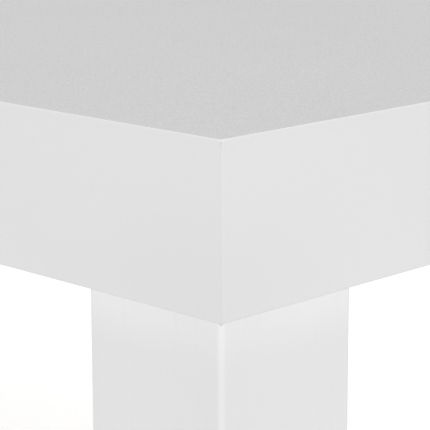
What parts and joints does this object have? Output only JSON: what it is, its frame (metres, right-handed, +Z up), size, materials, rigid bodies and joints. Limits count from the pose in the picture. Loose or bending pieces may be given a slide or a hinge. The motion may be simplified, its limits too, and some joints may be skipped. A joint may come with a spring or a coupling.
{
  "type": "parsons dining table",
  "caption": "Rectangular dining table with square legs set flush in the corners of a mitred apron, textured top sheet and levelling feet.",
  "frame": {"origin": "on the floor, under the middle of the top, with the levelling feet screwed fully in", "axes": "+X along the length, +Y across the width with the front at -Y, +Z up"},
  "size_m": [1.8, 0.9, 0.75],
  "materials": {
    "textured_laminate": "fine pebbled matt, light grey",
    "lacquered_board": "satin white lacquer on fibreboard",
    "lacquered_wood": "semi-gloss white lacquer on solid wood",
    "core_board": "raw medium density fibreboard",
    "backer_sheet": "smooth matt balancing sheet",
    "hardwood": "planed beech, unfinished",
    "softwood": "planed pine, unfinished",
    "zinc_plated_steel": "bright zinc plating",
    "foot_plastic": "moulded off-white nylon"
  },
  "bodies": {
    "table_frame": {"top_laminate": "textured_laminate", "top_core": "core_board", "top_backer": "backer_sheet", "apron_front": "lacquered_board", "apron_right": "lacquered_board", "apron_back": "lacquered_board", "apron_left": "lacquered_board", "mitre_spline_front_left": "hardwood", "mitre_spline_front_right": "hardwood", "mitre_spline_back_right": "hardwood", "mitre_spline_back_left": "hardwood", "leg_front_left": "lacquered_wood", "leg_front_right": "lacquered_wood", "leg_back_right": "lacquered_wood", "leg_back_left": "lacquered_wood", "corner_brace_front_left": "hardwood", "corner_brace_front_right": "hardwood", "corner_brace_back_right": "hardwood", "corner_brace_back_left": "hardwood", "cross_rail_left": "softwood", "cross_rail_middle": "softwood", "cross_rail_right": "softwood", "glue_blocks_front": "softwood", "glue_blocks_right": "softwood", "glue_blocks_back": "softwood", "glue_blocks_left": "softwood", "rail_dowels": "hardwood", "rail_screws": "zinc_plated_steel", "brace_screws": "zinc_plated_steel", "hanger_bolts": "zinc_plated_steel", "bolt_washers": "zinc_plated_steel", "bolt_nuts": "zinc_plated_steel", "leg_insert_front_left": "zinc_plated_steel", "leg_insert_front_right": "zinc_plated_steel", "leg_insert_back_right": "zinc_plated_steel", "leg_insert_back_left": "zinc_plated_steel"},
    "pad_front_left": {"leveller_pad_front_left": "foot_plastic"},
    "stem_front_left": {"leveller_stem_front_left": "zinc_plated_steel"},
    "pad_front_right": {"leveller_pad_front_right": "foot_plastic"},
    "stem_front_right": {"leveller_stem_front_right": "zinc_plated_steel"},
    "pad_back_right": {"leveller_pad_back_right": "foot_plastic"},
    "stem_back_right": {"leveller_stem_back_right": "zinc_plated_steel"},
    "pad_back_left": {"leveller_pad_back_left": "foot_plastic"},
    "stem_back_left": {"leveller_stem_back_left": "zinc_plated_steel"}
  },
  "joints": [
    {"name": "pad_travel_front_left", "type": "slide", "parent": "table_frame", "child": "pad_front_left", "axis": [0, 0, -1], "range_m": [0, 0.0125]},
    {"name": "stem_turn_front_left", "type": "hinge", "parent": "pad_front_left", "child": "stem_front_left", "pos_m": [-0.855, -0.405, 0.03], "axis": [0, 0, -1], "range_deg": [0, 3600]},
    {"name": "pad_travel_front_right", "type": "slide", "parent": "table_frame", "child": "pad_front_right", "axis": [0, 0, -1], "range_m": [0, 0.0125]},
    {"name": "stem_turn_front_right", "type": "hinge", "parent": "pad_front_right", "child": "stem_front_right", "pos_m": [0.855, -0.405, 0.03], "axis": [0, 0, -1], "range_deg": [0, 3600]},
    {"name": "pad_travel_back_right", "type": "slide", "parent": "table_frame", "child": "pad_back_right", "axis": [0, 0, -1], "range_m": [0, 0.0125]},
    {"name": "stem_turn_back_right", "type": "hinge", "parent": "pad_back_right", "child": "stem_back_right", "pos_m": [0.855, 0.405, 0.03], "axis": [0, 0, -1], "range_deg": [0, 3600]},
    {"name": "pad_travel_back_left", "type": "slide", "parent": "table_frame", "child": "pad_back_left", "axis": [0, 0, -1], "range_m": [0, 0.0125]},
    {"name": "stem_turn_back_left", "type": "hinge", "parent": "pad_back_left", "child": "stem_back_left", "pos_m": [-0.855, 0.405, 0.03], "axis": [0, 0, -1], "range_deg": [0, 3600]}
  ],
  "couplings": [
    {"joint": "stem_turn_front_left", "follows": "pad_travel_front_left", "rad_per_m": 5026.5},
    {"joint": "stem_turn_front_right", "follows": "pad_travel_front_right", "rad_per_m": 5026.5},
    {"joint": "stem_turn_back_right", "follows": "pad_travel_back_right", "rad_per_m": 5026.5},
    {"joint": "stem_turn_back_left", "follows": "pad_travel_back_left", "rad_per_m": 5026.5}
  ]
}
